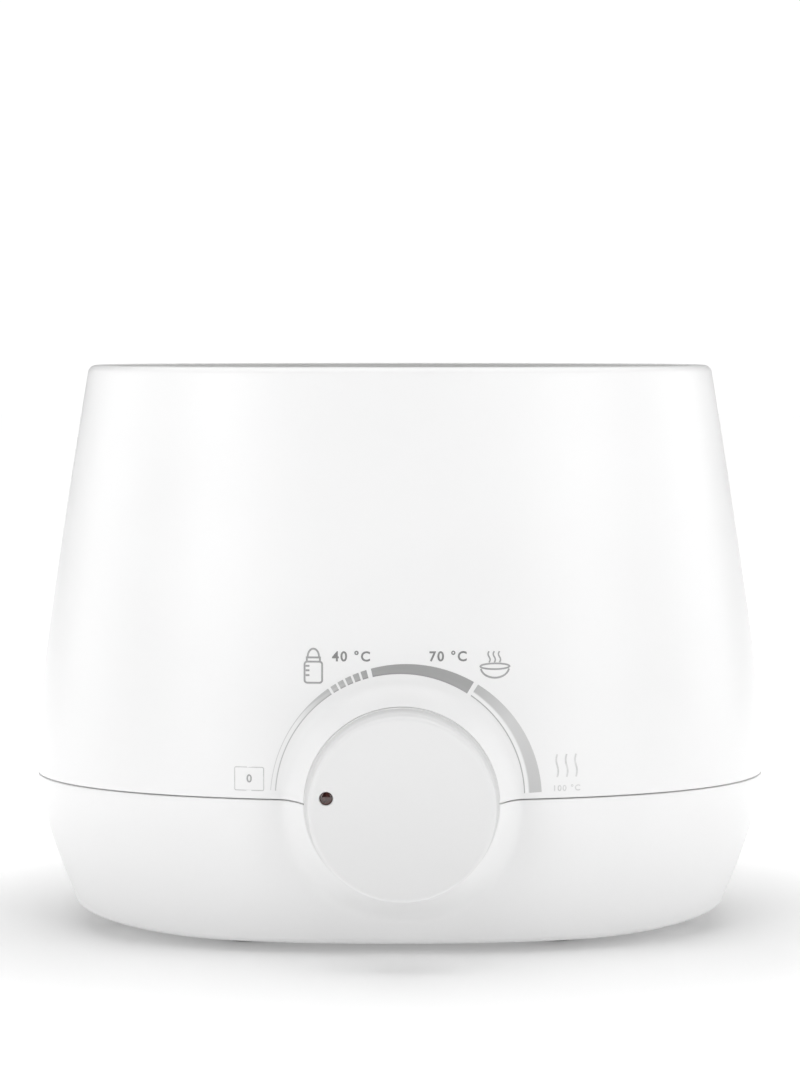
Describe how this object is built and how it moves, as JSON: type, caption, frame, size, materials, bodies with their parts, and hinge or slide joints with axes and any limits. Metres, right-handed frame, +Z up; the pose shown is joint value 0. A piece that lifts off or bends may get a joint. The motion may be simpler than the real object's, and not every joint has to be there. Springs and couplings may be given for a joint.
{
  "type": "bottle warmer",
  "caption": "Oval white bottle warmer with an open water tank, a lift-out bottle rack, a plate heater and a rotary thermostat behind a large front dial.",
  "frame": {"origin": "on the table under the middle of the object's box: under the housing's middle, 9.8 mm in front of its axis", "axes": "+Z up; -Y is the front, where the dial is; +X is to the right as seen from the front, along the housing's width"},
  "size_m": [0.26, 0.1756, 0.2],
  "materials": {
    "white_shell": "moulded white ABS, semi-gloss",
    "white_knob": "moulded white ABS, satin",
    "white_tank": "moulded white polypropylene, satin",
    "rack_white": "moulded white polypropylene, satin",
    "silicone": "soft white silicone",
    "plate_steel": "turned stainless steel",
    "zinc_steel": "zinc-plated steel",
    "element_sheath": "heat-darkened steel sheath",
    "brass": "brass",
    "copper": "drawn copper",
    "ceramic_white": "unglazed ceramic",
    "red_lens": "clear dark red plastic",
    "light_guide": "milky light-guide plastic",
    "board_green": "glass-fibre circuit board",
    "foot_rubber": "grey rubber",
    "gland_plastic": "moulded nylon",
    "block_plastic": "moulded nylon",
    "wire_blue": "PVC wire insulation",
    "wire_brown": "PVC wire insulation",
    "wire_red": "PVC wire insulation",
    "scale_foil": "silver-grey hot-stamped foil"
  },
  "bodies": {
    "housing": {"upper_shell": "white_shell", "lower_shell": "white_shell", "tank": "white_tank", "rim_seal": "silicone", "heater_plate": "plate_steel", "heater_gasket": "silicone", "heater_clamp_ring": "zinc_steel", "clamp_screws": "zinc_steel", "heating_element": "element_sheath", "element_pins": "brass", "thermal_fuse": "ceramic_white", "fuse_clip": "zinc_steel", "sensor_bulb": "copper", "bulb_clip": "zinc_steel", "capillary_tube": "copper", "thermostat_body": "ceramic_white", "thermostat_terminals": "brass", "thermostat_bracket": "zinc_steel", "bushing_nut": "zinc_steel", "bracket_screws": "zinc_steel", "light_ring": "light_guide", "led_board": "board_green", "led": "light_guide", "shell_screws": "zinc_steel", "tank_screws": "zinc_steel", "foot_front_left": "foot_rubber", "foot_front_right": "foot_rubber", "foot_rear_left": "foot_rubber", "foot_rear_right": "foot_rubber", "cord_gland": "gland_plastic", "gland_nut": "gland_plastic", "terminal_block": "block_plastic", "terminal_screws": "brass", "wire_neutral": "wire_blue", "wire_live": "wire_brown", "wire_fuse": "wire_brown", "wire_heater": "wire_brown", "led_leads": "wire_red"},
    "dial": {"knob": "white_knob", "hub_ring": "zinc_steel", "pointer_lens": "red_lens", "spindle": "zinc_steel"},
    "rack": {"cup_left": "rack_white", "cup_right": "rack_white", "rack_handle": "rack_white"}
  },
  "joints": [
    {"name": "knob_turn", "type": "hinge", "parent": "housing", "child": "dial", "pos_m": [0, -0.0802, 0.0555], "axis": [0, 1, 0], "range_deg": [0, 164]},
    {"name": "rack_lift", "type": "slide", "parent": "housing", "child": "rack", "axis": [0, 0, 1], "range_m": [0, 0.13]}
  ]
}
